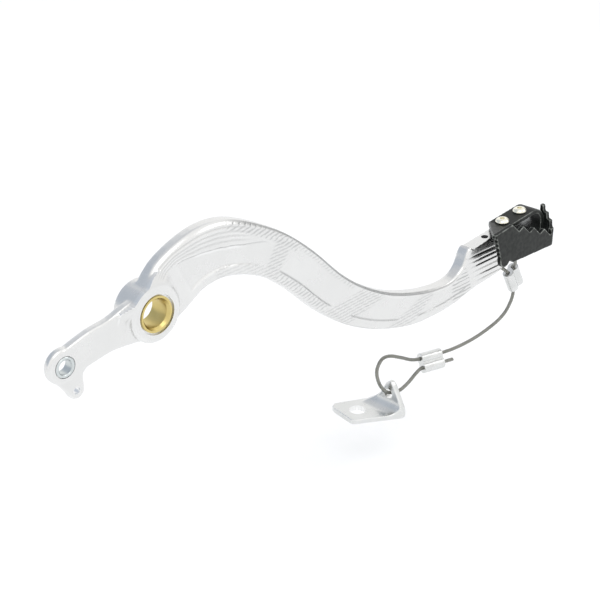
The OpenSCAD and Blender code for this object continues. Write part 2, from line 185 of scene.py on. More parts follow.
cameraData = bpy.data.cameras.new("photoCamera")
cameraData.lens = cameraSet["lens"]
cameraData.sensor_width = cameraSet["sensor"]
cameraData.clip_start = 0.01
camera = bpy.data.objects.new("photoCamera", cameraData)
camera.location = cameraSet["place"]
tipped = math.radians(90 - cameraSet["lift"])
camera.rotation_euler = (tipped, 0, math.radians(cameraSet["turn"]))
scene.collection.objects.link(camera)
scene.camera = camera
print("camera set")


# wire rope: six strands laid round a core, along the same route as the solid

rope = {
    "diameter": 2.0 * mm,
    "strands": 6,
    "strandRadius": 0.355 * mm,
    "coreShare": 1.02,  # the core's radius over a strand's
    "layRadius": 0.645 * mm,
    "lay": 11 * mm,
    "gap": 0.5 * mm,
    "steps": 12,
    "exit": (0.2515, 0, -0.0545),
    "route": [
        (265.4, 0, -73.4), (262.8, 0, -68.8), (259.4, 0, -63),
        (257.2, -2.6, -60.2), (254, -5, -57), (251.8, -5.5, -54.3),
        (250.4, -4.8, -52.1), (249.4, -2.8, -50.4), (249.1, 0, -49.8),
        (249.4, 2.8, -50.4), (250.4, 4.8, -52.1), (250.9, 5.6, -55.5),
        (251.2, 5, -59.6), (252.6, 2.6, -62.4), (254.2, 0.6, -64.4),
        (255.2, 0, -65.8), (258.3, 0, -71.2), (261.6, 0, -76.9),
        (262.2, 0.2, -81.1), (260.7, 0.4, -85.6), (256.9, 0.8, -90.7),
        (250.3, 1.4, -94.6), (239, 2.6, -98), (227.5, 3.7, -99.8), (215, 4.8, -100.2),
        (204.4, 6.3, -99.8), (198.1, 8.1, -99.8), (191.9, 9.9, -99.8),
        (185.5, 11.2, -98.4), (177.2, 11.6, -94.1), (168, 12, -89.8),
        (161.4, 12, -89.4), (157.6, 11.9, -94.6), (158.8, 11.2, -102),
        (162.6, 10.3, -108), (166.5, 9.7, -110.5), (172.5, 9, -111.8),
        (179.5, 8.5, -109.8), (186.5, 8, -105.6),
        (191.1, 7.3, -104), (203.6, 3.7, -104), (210.3, 1.8, -104),
    ],
}


# the same curve with its points a fixed distance apart, and how far along each one is
def evenRoute(points, gap):
    spans = np.linalg.norm(np.diff(points, axis=0), axis=1)
    along = np.concatenate([[0], np.cumsum(spans)])
    places = np.linspace(0, along[-1], int(round(along[-1] / gap)) + 1)
    return np.stack([np.interp(places, along, points[:, k]) for k in range(3)], 1), places


# a sideways direction for each point, carried along so that it never twists
def carriedSides(route):
    ahead = np.gradient(route, axis=0)
    ahead /= np.linalg.norm(ahead, axis=1)[:, None]
    side = np.array([0, 1.0, 0])
    sides = []
    for direction in ahead:
        side = side - direction * (side @ direction)
        side /= np.linalg.norm(side)
        sides.append(side)
    sides = np.array(sides)
    return sides, np.cross(ahead, sides)


def strandAlong(points, radius, name):
    data = bpy.data.curves.new(name, "CURVE")
    data.dimensions = "3D"
    data.bevel_depth = radius
    data.bevel_resolution = 1
    data.use_fill_caps = True
    spline = data.splines.new("POLY")
    spline.points.add(len(points) - 1)
    spline.points.foreach_set("co", np.column_stack([points, np.ones(len(points))]).ravel())
    strand = bpy.data.objects.new(name, data)
    scene.collection.objects.link(strand)
    makeActive(strand)
    bpy.ops.object.convert(target="MESH")
    return bpy.context.object


ropePoints = smoothAt(np.array(rope["route"]) * mm, rope["steps"])
fineRoute, places = evenRoute(ropePoints, rope["gap"])
ropeSides, ropeUps = carriedSides(fineRoute)
strands = [strandAlong(fineRoute, rope["strandRadius"] * rope["coreShare"], "ropeCore")]
for index in range(rope["strands"]):
    phase = 2 * math.pi * (index / rope["strands"] + places / rope["lay"])
    outward = np.cos(phase)[:, None] * ropeSides + np.sin(phase)[:, None] * ropeUps
    laid = fineRoute + rope["layRadius"] * outward
    strands.append(strandAlong(laid, rope["strandRadius"], f"ropeStrand{index}"))
wireRope = settle(joinPieces(strands, "wireRope"), "wireRope", 60)
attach(wireRope, "cable")
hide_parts("safety_cable")


# pedal arm: the forged shape, softened as a forging is, with its holes cut sharp again.
# places and sizes are in millimetres

arm = {
    "voxel": 0.48 * mm,
    "softening": 6,
    "edges": 3.0,
    "plugs": [  # bars that fill the holes: place, radius, and from and to along y
        ((0, 0), 10.2, -5.65, 7.75), ((-43.5, -8), 5, -2.95, 1.35),
        ((-38.9, -20.2), 2.1, -2.45, 0.85), ((249.5, -50.5), 3.3, -3.9, 3.9),
    ],
    "holes": [  # bars that cut them again
        ((0, 0), 7.07, -8, 10), ((0, 0), 8.8, -8, -4.2), ((0, 0), 9, 5.4, 10),
        ((-43.5, -8), 4.62, -6, 5), ((-38.9, -20.2), 1.55, -6, 5), ((249.5, -50.5), 2.8, -8, 8),
    ],
    "platform": {  # the spare hole, and the two that hold the screws
        "tilt": 6, "spare": (230, -36), "pitch": 16, "count": 3,
        "plug": (2.5, -12, -0.1), "hole": (2.02, -11, 3),
    },
}


def acrossArm(place, radius, low, high):
    middle = (place[0] * mm, (low + high) / 2 * mm, place[1] * mm)
    return addBarrel(radius * mm, (high - low) * mm, middle, (math.pi / 2, 0, 0))


# round bars square to the toe platform, one at each of its holes
def onPlatform(radius, low, high):
    platform = arm["platform"]
    tilt = math.radians(platform["tilt"])
    middle = (low + high) / 2
    bars = []
    for index in range(platform["count"]):
        along = platform["pitch"] * index
        x = platform["spare"][0] + along * math.cos(tilt) - middle * math.sin(tilt)
        z = platform["spare"][1] + along * math.sin(tilt) + middle * math.cos(tilt)
        place = (x * mm, 0, z * mm)
        bars.append(addBarrel(radius * mm, (high - low) * mm, place, (0, -tilt, 0)))
    return bars


# the arm's edges from the side. a station is one point of these lists along the arm
armLines = {
    "top": [
        (-5, 10), (3, 19.2), (15, 25.6), (28, 29), (42, 28.2), (58, 22), (76, 12), (94, -2),
        (112, -18.8), (129, -31), (150, -41.6), (173, -48.6), (190, -51), (200.5, -50.2),
        (207.5, -45.5), (212, -37), (222, -35), (242, -33), (263, -31), (269.5, -35.5),
    ],
    "bottom": [
        (9, -8.4), (17.6, -3.8), (25.5, 1), (32, 2.7), (39.5, 2.9), (50.5, 0.3), (63.5, -5.6),
        (79.5, -17.6), (97, -33.6), (116, -47.2), (139, -58), (165, -65.2), (187, -66.4),
        (203, -65), (212, -63), (221, -61.4), (230, -60.6), (243, -58.8), (258, -53), (268.5, -44),
    ],
    "steps": 12,
    "band": [6.6, 9.6, 11.4, 11.8, 10.2, 6.4],  # width of the grooved band over the first panel
    "bandFrom": 1.6, "bandRun": 3.8,
    "panels": [(1.6, 5.4), (6.9, 8), (9, 10.3), (11.1, 12.5)],
    "panelFill": {"past": 0.03, "over": 0.25, "topGap": 2.35, "bottomGap": 4.75, "depths": (-4, -2.7)},
    "ribFill": {"stations": (14.1, 17.9), "topGap": 2.6, "bottomGap": 1.3, "depths": (-4, -2.9)},
    "end": 18.9,
}
topLine = smoothAt(armLines["top"], armLines["steps"])
bottomLine = smoothAt(armLines["bottom"], armLines["steps"])
lineGrid = np.arange(len(topLine))
acrossLines = topLine - bottomLine
armWidths = np.linalg.norm(acrossLines, axis=1)
acrossLines = acrossLines / armWidths[:, None]


# a row of values or points, one for each line of the grid, read between the lines
def between(spots, row):
    return np.stack([np.interp(spots, lineGrid, row[:, k]) for k in range(row.shape[1])], 1)


def outlinePlate(outline, thick, place, turn, name):
    data = bpy.data.curves.new(name, "CURVE")
    data.dimensions = "2D"
    data.fill_mode = "BOTH"
    data.extrude = thick / 2 * mm
    spline = data.splines.new("POLY")
    spline.points.add(len(outline) - 1)
    for point, (across, up) in zip(spline.points, outline):
        point.co = (across * mm, up * mm, 0, 1)
    spline.use_cyclic_u = True
    plate = bpy.data.objects.new(name, data)
    plate.location = Vector(place) * mm
    plate.rotation_euler = turn
    scene.collection.objects.link(plate)
    makeActive(plate)
    bpy.ops.object.convert(target="MESH")
    plate = bpy.context.object
    bpy.ops.object.mode_set(mode="EDIT")
    bpy.ops.mesh.select_all(action="SELECT")
    bpy.ops.mesh.remove_doubles(threshold=weldGap)
    bpy.ops.mesh.normals_make_consistent(inside=False)
    bpy.ops.object.mode_set(mode="OBJECT")
    return plate


# a plate with a side-view outline, from low to high along y
def sideSlab(outline, low, high, name):
    place = (0, (low + high) / 2, 0)
    return outlinePlate(outline, high - low, place, (math.pi / 2, 0, 0), name)


# side-view outline between two stations, with a gap to the top and bottom edges
def stationOutline(first, last, topGap, bottomGap, rows=14):
    spots = np.linspace(first, last, rows) * armLines["steps"]
    upper, lower = between(spots, topLine), between(spots, bottomLine)
    across = (upper - lower) / np.linalg.norm(upper - lower, axis=1)[:, None]
    shares = np.linspace(0, 1, rows)
    gaps = np.interp(shares, np.linspace(0, 1, len(topGap)), topGap)[:, None]
    upper = upper - across * gaps
    lower = lower + across * bottomGap
    return [tuple(point) for point in np.concatenate([upper, lower[::-1]])]


# station, height over the bottom edge and depth under the top edge for each point,
# and how far a point lies past the grid line that it was given
def armPlaces(points, block=20000):
    ahead = np.stack([acrossLines[:, 1], -acrossLines[:, 0]], 1)
    spot = np.zeros(len(points))
    miss = np.zeros(len(points))
    for start in range(0, len(points), block):
        part = points[start:start + block]
        offset = part @ ahead.T - (bottomLine * ahead).sum(1)
        height = part @ acrossLines.T - (bottomLine * acrossLines).sum(1)
        outside = np.maximum(0, -height) + np.maximum(0, height - armWidths)
        near = np.argmin(np.abs(offset) + 3 * outside, axis=1)
        rows = np.arange(len(part))
        here = offset[rows, near]
        other = np.clip(near + np.where(here > 0, 1, -1), 0, len(armWidths) - 1)
        span = here - offset[rows, other]
        share = here / np.where(np.abs(span) < 1e-6, 1, span)
        spot[start:start + block] = near + np.clip(share, 0, 1) * (other - near)
        lost = (other == near) | (share > 1.3)
        miss[start:start + block] = np.where(lost, np.abs(here), 0)
    low, high = between(spot, bottomLine), between(spot, topLine)
    wide = np.linalg.norm(high - low, axis=1)
    up = ((points - low) * (high - low)).sum(1) / wide
    return spot / armLines["steps"], up, wide - up, miss


# smooth step from 0 at low to 1 at high
def ramp(values, low, high):
    t = np.clip((values - low) / (high - low), 0, 1)
    return t * t * (3 - 2 * t)


def window(values, low, high, soft):
    return ramp(values, low - soft, low + soft) * (1 - ramp(values, high - soft, high + soft))


def windows(values, spans, soft):
    return sum(window(values, low, high, soft) for low, high in spans)


def ridge(offset, width):
    return np.exp(-(offset / width) ** 2)


# where each vertex of the arm lies on it
def armSpots():
    points = verticesOf(pedalArm) / mm
    station, up, down, miss = armPlaces(points[:, [0, 2]])
    onArm = (miss < 0.5) & (up > -1) & (down > -1) & (station < armLines["end"])
    fromPivot = np.hypot(points[:, 0], points[:, 2])
    share = (station - armLines["bandFrom"]) / armLines["bandRun"]
    bandWidth = np.interp(share, np.linspace(0, 1, len(armLines["band"])), armLines["band"])
    return points, station, up, down, onArm, fromPivot, bandWidth


pedalArm = copyOfNode("pedal_arm", "pedalArm")
plugs = [acrossArm(*plug) for plug in arm["plugs"]] + onPlatform(*arm["platform"]["plug"])
fill = armLines["panelFill"]
for index, (first, last) in enumerate(armLines["panels"]):
    topGap = [width - fill["over"] for width in armLines["band"]] if index == 0 else [fill["topGap"]]
    outline = stationOutline(first - fill["past"], last + fill["past"], topGap, fill["bottomGap"])
    plugs.append(sideSlab(outline, *fill["depths"], f"panelFill{index}"))
fill = armLines["ribFill"]
outline = stationOutline(*fill["stations"], [fill["topGap"]], fill["bottomGap"])
plugs.append(sideSlab(outline, *fill["depths"], "ribFill"))
pedalArm = joinPieces([pedalArm] + plugs, "pedalArm")
softSkin(pedalArm, arm["voxel"], arm["softening"])

# forged relief: the first panel lies below its grooved band, the others are shallow,
# straight ribs run out to the toe, and the top edge near the boss is rounded well over

relief = {
    "nearFace": -4,
    "clearOfBoss": (13.4, 15),
    "corner": {"least": 1.2, "extra": 2.6, "until": (3.6, 6.0), "outside": -0.8, "fade": (13.5, 18)},
    "shoulder": {"from": -5.65, "rise": 1.65, "over": (11.2, 18.5), "ring": (11.5, 18)},
    "firstPanel": {"depth": 0.75, "stations": (1.62, 5.6), "soft": 0.16, "fade": (4.4, 5.7)},
    "laterPanels": {
        "depth": 0.28, "stations": [(6.35, 8.15), (8.95, 10.45), (11.15, 12.75)], "soft": 0.1,
    },
    "border": {"depth": 0.16, "stations": (6.2, 13.6), "soft": 0.2},
    "ribs": {
        "count": 6, "top": -42, "pitch": 3.1, "lag": 1.9, "end": (254, 257),
        "cut": {"depth": 0.55, "width": 0.40, "begin": (207.5, 222)},
        "lip": {"depth": 0.10, "width": 0.5, "below": 1.1},
        # painted shade along each rib groove
        "paintedShade": {"strength": 0.75, "width": 0.38, "begin": (206.5, 216)},
    },
    "fan": {
        "shares": (0.25, 0.43, 0.60, 0.78), "stations": (0.9, 4.7), "soft": 0.35,
        "cut": {"depth": 0.22, "width": 0.45},
        # painted shade along each fan groove
        "paintedShade": {"strength": 0.4, "width": 0.26},
    },
}
ribSet, fanSet = relief["ribs"], relief["fan"]


# how far each vertex lies from each rib's line, and how far the rib has begun there
def ribRows(begin):
    for index in range(ribSet["count"]):
        offset = points[:, 2] - ribSet["top"] + ribSet["pitch"] * index
        yield offset, ramp(points[:, 0], *(edge + ribSet["lag"] * index for edge in begin))


# the grooves that fan out along the band over the first panel
def fanOf(width):
    rows = sum(ridge(down - share * bandWidth, width) for share in fanSet["shares"])
    return window(station, *fanSet["stations"], fanSet["soft"]) * rows


points, station, up, down, onArm, fromPivot, bandWidth = armSpots()
corner = relief["corner"]
edgeRadius = corner["least"] + corner["extra"] * (1 - ramp(station, *corner["until"]))
inward = np.stack([down, points[:, 1] - relief["nearFace"]], 1)
inCorner = onArm & (station < corner["until"][1])
inCorner &= (inward < edgeRadius[:, None]).all(1) & (inward > corner["outside"]).all(1)
fromCentre = inward - edgeRadius[:, None]
spread = np.linalg.norm(fromCentre, axis=1)
pull = np.where(inCorner & (spread > edgeRadius), edgeRadius / np.maximum(spread, 1e-6), 1)
moved = fromCentre * (pull[:, None] - 1) * ramp(fromPivot, *corner["fade"])[:, None]
points[:, [0, 2]] -= between(station * armLines["steps"], acrossLines) * moved[:, :1]
points[:, 1] += moved[:, 1]

# the boss's face slopes down to the arm over its upper left
shoulder = relief["shoulder"]
where = ramp(points[:, 2], -1, 5) * (1 - ramp(points[:, 0], 6, 13)) * (points[:, 1] < -2.8)
where *= (fromPivot > shoulder["ring"][0]) & (fromPivot < shoulder["ring"][1])
slope = shoulder["from"] + shoulder["rise"] * ramp(fromPivot, *shoulder["over"])
points[:, 1] += where * np.minimum(slope - points[:, 1], 0)

first, later, border = relief["firstPanel"], relief["laterPanels"], relief["border"]
firstPanel = window(station, *first["stations"], first["soft"])
firstPanel *= ramp(down - bandWidth, -0.35, 0.35) * ramp(up, 4.4, 5.6)
firstPanel *= 1 - 0.75 * ramp(station, *first["fade"])
laterPanels = windows(station, later["stations"], later["soft"])
laterPanels *= ramp(up, 4.9, 5.5) * ramp(down, 2, 3.2)
borderStep = window(station, *border["stations"], border["soft"]) * ramp(up, 4.95, 5.35)
cut, lip = ribSet["cut"], ribSet["lip"]
ribs = np.zeros(len(points))
for offset, begun in ribRows(cut["begin"]):
    ribs += begun * cut["depth"] * ridge(offset, cut["width"])
    ribs += begun * lip["depth"] * ridge(offset + lip["below"], lip["width"])
ribs *= 1 - ramp(points[:, 0], *ribSet["end"])
sunk = first["depth"] * firstPanel + later["depth"] * laterPanels + border["depth"] * borderStep
sunk += ribs + fanSet["cut"]["depth"] * fanOf(fanSet["cut"]["width"])
front = onArm * (1 - ramp(points[:, 1], -3.2, -1.6)) * ramp(fromPivot, *relief["clearOfBoss"])
points[:, 1] += front * sunk
pedalArm.data.vertices.foreach_set("co", (points * mm).ravel())
pedalArm.data.update()

cutWith(pedalArm, [acrossArm(*hole) for hole in arm["holes"]] + onPlatform(*arm["platform"]["hole"]))
pedalArm = settle(pedalArm, "pedalArm", 40)

# masks for what is drawn on the arm, painted shade and highlight among them. a band of strokes crosses
# it:
# strength, first and last station, softness, where it fades in over the bottom edge and under the top
# edge, and its lean in stations a millimetre. a strip follows an edge: strength, first and last
# station, softness, and from, to and softness over the bottom edge (up) or under the top edge (down)

drawnSet = {
    "strokes": {
        "fine": {"bands": [(0.85, 12.75, 14.4, 0.1, (1, 2), (1.2, 2.2), 0)], "strips": []},
        "hatch": {
            "bands": [
                (0.45, 5.75, 6.25, 0.06, (0.4, 1), (3, 4), 0),
                (0.45, 8.05, 8.95, 0.08, (0.4, 1.2), (1, 2), 0.045),
                (0.45, 10.2, 10.9, 0.08, (0.4, 1.2), (1, 2), 0.05),
            ],
            "strips": [(0.27, 3.2, 5.9, 0.15, "up", 0.8, 5.4, 0.4)],
        },
        "coarse": {
            "bands": [],
            "strips": [
                (0.55, 6.2, 8.1, 0.1, "up", 0.6, 4.8, 0.3),
                (0.6, 3.9, 6.5, 0.12, "down", 0.8, 5.2, 0.4),
                (0.4, 6.5, 8.6, 0.12, "down", 1, 3.4, 0.4),
            ],
        },
    },
    "bareStripe": (183.5, 186.5, 0.6),  # a stripe with no fine strokes
    # painted shade lines along the lower border of the later panels
    "lowerShadeLines": [(6.25, 8.2), (8.95, 10.5), (11.1, 13.9)],
    "paintedStepShade": (250, 256),  # painted shade where the black step shades the arm's near face
    "paintedGleam": (2.3, 4.6, 0.3),  # a painted highlight along the edge under the band
}

points, station, up, down, onArm, fromPivot, bandWidth = armSpots()
front = onArm * (1 - ramp(points[:, 1], -3.4, -2.6)) * ramp(fromPivot, *relief["clearOfBoss"])
fromEdge = {"up": up, "down": down}
masks = {}
for kind, rows in drawnSet["strokes"].items():
    mask = np.zeros(len(points))
    for strength, first, last, soft, overBottom, underTop, lean in rows["bands"]:
        band = window(station - lean * up, first, last, soft)
        band *= ramp(up, *overBottom) * ramp(down, *underTop)
        mask = np.maximum(mask, strength * band)
    for strength, first, last, soft, edge, low, high, blur in rows["strips"]:
        strip = window(station, first, last, soft) * window(fromEdge[edge], low, high, blur)
        mask = np.maximum(mask, strength * strip)
    masks[kind] = mask
masks["fine"] *= 1 - window(points[:, 0] + 0.55 * points[:, 2], *drawnSet["bareStripe"])
strokeMask = np.stack([masks["fine"], masks["hatch"], masks["coarse"]], 1)
setAttribute(pedalArm, "strokeMask", strokeMask * front[:, None])
# painted shade lines along the panel steps, and a painted dark reflection along the rounded top edge
darkLines = 0.9 * windows(station, drawnSet["lowerShadeLines"], 0.06) * ridge(up - 5.15, 0.28)
darkLines += 0.5 * window(station, 1.6, 5.4, 0.2) * ridge(down - bandWidth - 0.1, 0.3)
darkLines += 0.8 * window(station, 6.6, 13.2, 0.4) * ridge(down - 0.9, 0.3)
setAttribute(pedalArm, "paintedDarkLines", np.clip(darkLines, 0, 1) * front)
# painted shade in the rib and fan grooves
ribShade, fanShade = ribSet["paintedShade"], fanSet["paintedShade"]
grooveShade = fanShade["strength"] * fanOf(fanShade["width"])
for offset, begun in ribRows(ribShade["begin"]):
    grooveShade += ribShade["strength"] * begun * ridge(offset, ribShade["width"])
grooveShade = np.clip(grooveShade * (1 - ramp(points[:, 0], *ribSet["end"])), 0, 1) * front
# painted shade on the near face where the black step shades it
paintedStepShade = ramp(points[:, 0], *drawnSet["paintedStepShade"]) * (1 - ramp(points[:, 1], -1, 2.5))
setAttribute(pedalArm, "paintedGrooveShade", np.maximum(0.85 * grooveShade, 1.6 * paintedStepShade))
# a painted highlight under the band, added to the mask of rubbed edges
paintedGleam = window(station, *drawnSet["paintedGleam"]) * ridge(down - bandWidth - 0.9, 0.45)
wearAndLight = edgeWearAndHighlight(pedalArm, arm["edges"]) + 0.9 * front * paintedGleam
setAttribute(pedalArm, "wearAndLight", np.clip(wearAndLight, 0, 1))
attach(pedalArm, "pedal")
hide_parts("pedal_arm")
print("pedal arm finished,", len(pedalArm.data.polygons), "faces")


# toe step: folded sheet with rounded edges; the outer wall is painted lighter, a painted light,
# and the edges and the points of the teeth are rubbed and carry painted highlights

stepSet = {
    "voxel": 0.33 * mm, "softening": 4,
    # edges: reach of the rubbed edges with painted highlights; the outer wall's share is painted light
    "edges": 5.0, "edgeStart": 0.14, "edgeShare": 0.85, "lightening": 0.042,
}

toeStep = copyOfNode("toe_step", "toeStep")
softSkin(toeStep, stepSet["voxel"], stepSet["softening"])
toeStep = settle(toeStep, "toeStep", 50)
proud = np.clip(edgeWearAndHighlight(toeStep, stepSet["edges"]) - stepSet["edgeStart"], 0, 1)
# the outer wall that faces the lamps is painted lighter, a painted light, and proud edges get painted
# highlights
paintedLitWall = ramp(-verticesOf(toeStep, "normal")[:, 1], 0.3, 0.7)
wearAndLight = proud * stepSet["edgeShare"] + stepSet["lightening"] * paintedLitWall
setAttribute(toeStep, "wearAndLight", np.clip(wearAndLight, 0, 1))
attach(toeStep, "pedal")
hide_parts("toe_step")
print("toe step finished,", len(toeStep.data.polygons), "faces")


# frame bracket: bent strip with soft edges and a wide inside bend, in millimetres

bracketSet = {
    "corner": (165, 9.7, -119),
    "bend": 6.5,
    "bendSteps": 12,
    "foot": [
        (0, -10.2), (-18.6, 1.6), (-21.4, 3), (-23.2, 5.4),
        (-21, 20), (-19.6, 22.6), (-16.6, 23.8), (0, 14.8),
    ],
    "tab": [
        (-10.2, -3), (14.8, -3), (14.2, 0.2), (9.6, 3.2), (5.4, 7.6), (2, 10.4),
        (0.2, 12), (-1.8, 12), (-3.4, 10.4), (-9.4, 3.4), (-10.2, 1),
    ],
    "tabHole": {"place": (166.5, 9.7, -110.5), "radius": 2.7, "turn": (0, math.pi / 2, 0)},
    "boltHole": {"place": (151.8, 19.7, -120.5), "radius": 4.5, "turn": (0, 0, 0)},
    "plug": (0.5, 2.9),  # how much wider than the hole, and how long
    "cut": (0, 8),
    "voxel": 0.34 * mm,
    "softening": 9,
    "edges": 3.0,
}


def bracketBars(extra, length):
    return [
        addBarrel(
            (hole["radius"] + extra) * mm, length * mm, Vector(hole["place"]) * mm, hole["turn"],
        )
        for hole in (bracketSet["tabHole"], bracketSet["boltHole"])
    ]


cornerX, cornerY, cornerZ = bracketSet["corner"]
bend = bracketSet["bend"]
profile = [(cornerX + 1, cornerZ - 1), (cornerX + 1, cornerZ + bend)]
for step in range(bracketSet["bendSteps"] + 1):
    angle = math.radians(-90 * step / bracketSet["bendSteps"])
    across, rise = bend * math.cos(angle), bend * math.sin(angle)
    profile.append((cornerX - bend + across, cornerZ + bend + rise))
profile.append((cornerX - bend, cornerZ - 1))
wedge = sideSlab(profile, cornerY - 15, cornerY + 20, "bracketBend")
for outline, turn in (
    (bracketSet["foot"], (0, 0, 0)),
    (bracketSet["tab"], (math.pi / 2, 0, math.pi / 2)),
):
    inside = [(a * 0.99 + 0.03, b * 0.99) for a, b in outline]
    limit = outlinePlate(inside, 60, bracketSet["corner"], turn, "bracketLimit")
    cutWith(wedge, [limit], "INTERSECT")

bracket = [copyOfNode("frame_bracket", "frameBracket"), wedge] + bracketBars(*bracketSet["plug"])
bracket = joinPieces(bracket, "frameBracket")
softSkin(bracket, bracketSet["voxel"], bracketSet["softening"])
cutWith(bracket, bracketBars(*bracketSet["cut"]))
bracket = settle(bracket, "frameBracket", 40)
# rubbed edges with painted highlights on them
setAttribute(bracket, "wearAndLight", edgeWearAndHighlight(bracket, bracketSet["edges"]))
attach(bracket, "bracket")
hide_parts("frame_bracket")
print("frame bracket finished,", len(bracket.data.polygons), "faces")


# ferrules: drawn double barrels with rolled ends

ferruleSet = {"flat": 1, "edge": 0.35 * mm, "segments": 3, "edgeAngle": 50, "edges": 1.6}


def mergeFlats(obj, angle):
    makeActive(obj)
    bpy.ops.object.mode_set(mode="EDIT")
    bpy.ops.mesh.select_all(action="SELECT")
    bpy.ops.mesh.dissolve_limited(angle_limit=math.radians(angle))
    bpy.ops.object.mode_set(mode="OBJECT")


def bevelEdges(obj, width, segments, angle):
    bevel = obj.modifiers.new("rolledEdges", "BEVEL")
    bevel.width = width
    bevel.segments = segments
    bevel.limit_method = "ANGLE"
    bevel.angle_limit = math.radians(angle)
    bevel.use_clamp_overlap = True
    applyModifiers(obj)


# flat faces keep their own direction and only the narrow edge faces blend
def evenShading(obj):
    weighted = obj.modifiers.new("evenShading", "WEIGHTED_NORMAL")
    weighted.keep_sharp = True
    weighted.weight = 80
    applyModifiers(obj)


ferrules = []
for node, name in (("ferrule_upper", "upperFerrule"), ("ferrule_lower", "lowerFerrule")):
    ferrule = copyOfNode(node, name)
    mergeFlats(ferrule, ferruleSet["flat"])
    bevelEdges(ferrule, ferruleSet["edge"], ferruleSet["segments"], ferruleSet["edgeAngle"])
    ferrule = settle(ferrule, name, 35)
    evenShading(ferrule)
    # rubbed edges with painted highlights on them
    setAttribute(ferrule, "wearAndLight", edgeWearAndHighlight(ferrule, ferruleSet["edges"]))
    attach(ferrule, "cable")
    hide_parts(node)
    ferrules.append(ferrule)
print("ferrules finished")


# finishes

# a math node whose inputs are numbers or other nodes' outputs
def calculate(tree, operation, *values):
    node = tree.nodes.new("ShaderNodeMath")
    node.operation = operation
    for socket, value in zip(node.inputs, values):
        if isinstance(value, (int, float)):
            socket.default_value = value
        else:
            tree.links.new(value, socket)
    return node.outputs[0]


# one colour over another by a factor; a colour is three numbers or another node's output
def layOver(tree, factor, under, over):
    mix = tree.nodes.new("ShaderNodeMix")
    mix.data_type = "RGBA"
    tree.links.new(factor, mix.inputs["Factor"])
    for name, colour in (("A", under), ("B", over)):
        if isinstance(colour, tuple):
            mix.inputs[name].default_value = (*colour, 1)
        else:
            tree.links.new(colour, mix.inputs[name])
    return mix.outputs["Result"]


def addBump(tree, strength, distance, height):
    bump = tree.nodes.new("ShaderNodeBump")
    bump.inputs["Strength"].default_value = strength
    bump.inputs["Distance"].default_value = distance
    tree.links.new(height, bump.inputs["Height"])
    return bump


def newMaterial(name):
    material = bpy.data.materials.new(name)
    material.use_nodes = True
    tree = material.node_tree
    return material, tree, tree.nodes["Principled BSDF"]


def newGroup(name, inputs, outputs):
    group = bpy.data.node_groups.new(name, "ShaderNodeTree")
    for socket, kind in inputs:
        group.interface.new_socket(socket, in_out="INPUT", socket_type="NodeSocket" + kind)
    for socket in outputs:
        group.interface.new_socket(socket, in_out="OUTPUT", socket_type="NodeSocketFloat")
    return group, group.nodes.new("NodeGroupInput"), group.nodes.new("NodeGroupOutput")


# tumbled or brushed metal: small colour, roughness and height changes
def metalGrainGroup():
    inputs = [(name, "Float") for name in ("Coarse Scale", "Fine Scale", "Roughness", "Spread")]
    group, entry, leave = newGroup("metalGrain", inputs, ("Roughness", "Height", "Mask"))
    link = group.links.new
    where = group.nodes.new("ShaderNodeTexCoord")
    noise = {}
    for name, detail in (("Coarse Scale", 4), ("Fine Scale", 3)):
        noise[name] = group.nodes.new("ShaderNodeTexNoise")
        noise[name].inputs["Detail"].default_value = detail
        link(where.outputs["Object"], noise[name].inputs["Vector"])
        link(entry.outputs[name], noise[name].inputs["Scale"])
    coarse = noise["Coarse Scale"].outputs["Fac"]
    offset = calculate(group, "SUBTRACT", coarse, 0.5)
    spread, roughness = entry.outputs["Spread"], entry.outputs["Roughness"]
    link(calculate(group, "MULTIPLY_ADD", offset, spread, roughness), leave.inputs["Roughness"])
    link(noise["Fine Scale"].outputs["Fac"], leave.inputs["Height"])
    link(coarse, leave.inputs["Mask"])
    return group


# turn in degrees, pitch across and length along in metres, and sharpness
strokeLooks = {
    "fine": (1, 0.0021, 0.09, 3.4),
    "hatch": (2, 0.00165, 0.0046, 2.6),
    "coarse": (15, 0.0020, 0.0075, 2.8),
}


# short dark strokes: turned stripes, broken up along their length
def strokes(group, turn, pitch, length, sharp):
    where = group.nodes.new("ShaderNodeTexCoord")
    place = group.nodes.new("ShaderNodeMapping")
    place.vector_type = "POINT"
    place.inputs["Rotation"].default_value = (0, math.radians(turn), 0)
    group.links.new(where.outputs["Object"], place.inputs["Vector"])
    parts = group.nodes.new("ShaderNodeSeparateXYZ")
    group.links.new(place.outputs["Vector"], parts.inputs["Vector"])
    wobble = group.nodes.new("ShaderNodeTexNoise")
    wobble.inputs["Scale"].default_value = 300
    group.links.new(where.outputs["Object"], wobble.inputs["Vector"])
    row = calculate(group, "MULTIPLY", parts.outputs["Z"], 1 / pitch)
    row = calculate(group, "MULTIPLY_ADD", wobble.outputs["Fac"], 0.35, row)
    stripe = calculate(group, "PINGPONG", row, 0.5)
    stripe = calculate(group, "MULTIPLY", stripe, sharp)
    stripe = calculate(group, "SUBTRACT", 1, calculate(group, "SMOOTH_MIN", stripe, 1, 0.2))
    shift = calculate(group, "MULTIPLY", calculate(group, "FLOOR", row), 0.37)
    gap = calculate(group, "MULTIPLY_ADD", parts.outputs["X"], 1 / length, shift)
    gap = calculate(group, "PINGPONG", gap, 0.5)
    broken = group.nodes.new("ShaderNodeMapRange")
    broken.interpolation_type = "SMOOTHSTEP"
    broken.inputs["From Min"].default_value = 0.06
    broken.inputs["From Max"].default_value = 0.16
    group.links.new(gap, broken.inputs["Value"])
    stripe = calculate(group, "MULTIPLY", stripe, broken.outputs["Result"])
    return calculate(group, "MAXIMUM", stripe, 0)


